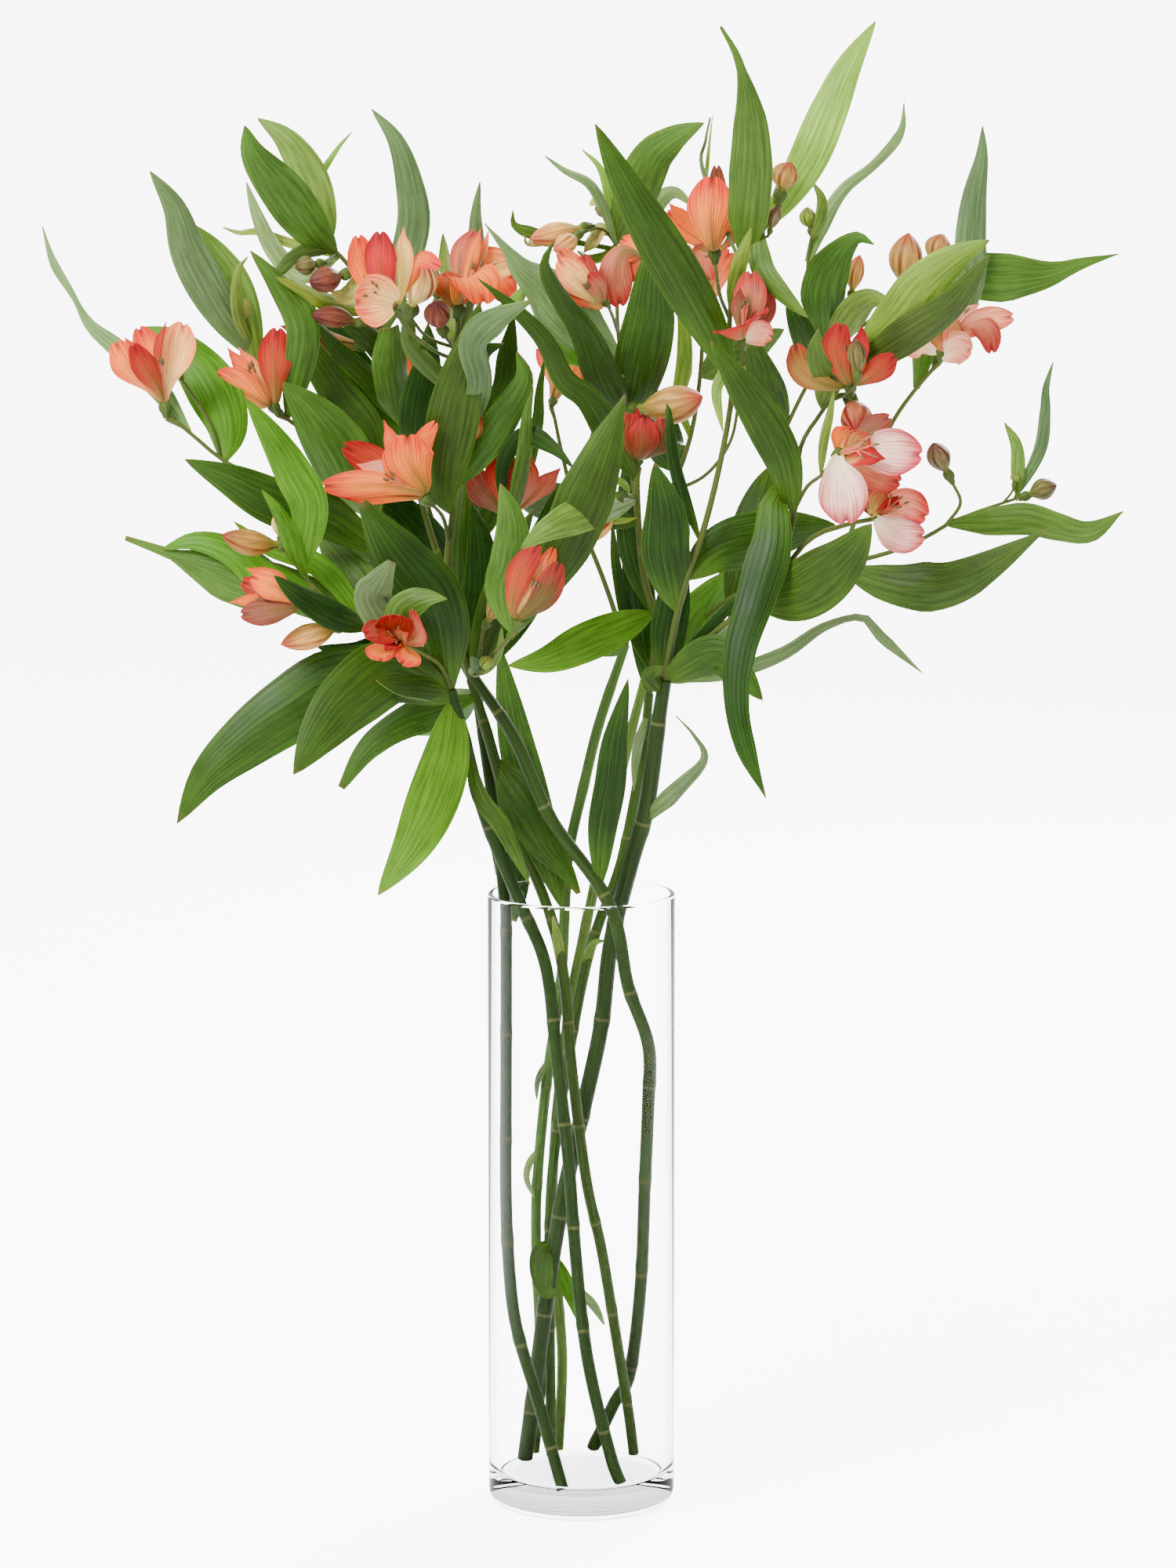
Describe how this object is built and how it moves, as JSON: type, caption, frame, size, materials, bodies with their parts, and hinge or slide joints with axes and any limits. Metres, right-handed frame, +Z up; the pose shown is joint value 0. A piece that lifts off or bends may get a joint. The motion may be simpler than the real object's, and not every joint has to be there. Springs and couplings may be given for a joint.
{
  "type": "vase of alstroemeria stems",
  "caption": "Tall straight glass vase holding leafy cut stems of alstroemeria with coral flowers and striped buds.",
  "frame": {"origin": "centre of the vase's flat underside, on the surface it stands on", "axes": "+Z up along the vase; -Y towards the viewer of the picture; +X to the viewer's right"},
  "size_m": [0.5679, 0.2591, 0.793],
  "materials": {
    "vase_glass": "clear polished glass",
    "leaf_green": "satin leaf with fine parallel veins",
    "tepal_coral": "soft satin petal",
    "tepal_white": "soft satin petal",
    "bud_rose": "satin bud",
    "bud_olive": "satin bud"
  },
  "bodies": {
    "root": {"vase": "vase_glass", "leafy_stem_a": "leaf_green", "leafy_stem_b": "leaf_green", "leafy_stem_c": "leaf_green", "leafy_stem_d": "leaf_green", "leafy_stem_e": "leaf_green", "leafy_stem_f": "leaf_green", "leafy_stem_g": "leaf_green", "leafy_stem_h": "leaf_green", "bloom_01": "tepal_coral", "bloom_02": "tepal_coral", "bloom_03": "tepal_coral", "bloom_04": "tepal_coral", "bloom_05": "tepal_coral", "bloom_06": "tepal_coral", "bloom_07": "tepal_coral", "bloom_08": "tepal_coral", "bloom_09": "tepal_coral", "bloom_10": "tepal_coral", "bloom_11": "tepal_coral", "bloom_12": "tepal_coral", "bloom_13": "tepal_coral", "bloom_14": "tepal_coral", "bloom_15": "tepal_coral", "bloom_16": "tepal_coral", "bloom_17": "tepal_coral", "bloom_18": "tepal_white", "bloom_19": "tepal_white", "bloom_20": "tepal_coral", "bloom_21": "tepal_coral", "bloom_22": "tepal_coral", "bud_01": "bud_rose", "bud_02": "bud_rose", "bud_03": "bud_olive", "bud_04": "bud_rose", "bud_05": "bud_rose", "bud_06": "bud_olive", "bud_07": "bud_rose", "bud_08": "bud_olive", "bud_09": "bud_olive", "bud_10": "bud_rose", "bud_11": "bud_rose", "bud_12": "bud_rose", "bud_13": "bud_rose", "bud_14": "bud_rose", "bud_15": "bud_rose", "bud_16": "bud_rose", "bud_17": "bud_olive", "bud_18": "bud_rose", "bud_19": "bud_olive", "bud_20": "bud_rose", "bud_21": "bud_rose", "bud_22": "bud_olive", "bud_23": "bud_rose", "bud_24": "bud_rose"}
  },
  "joints": []
}
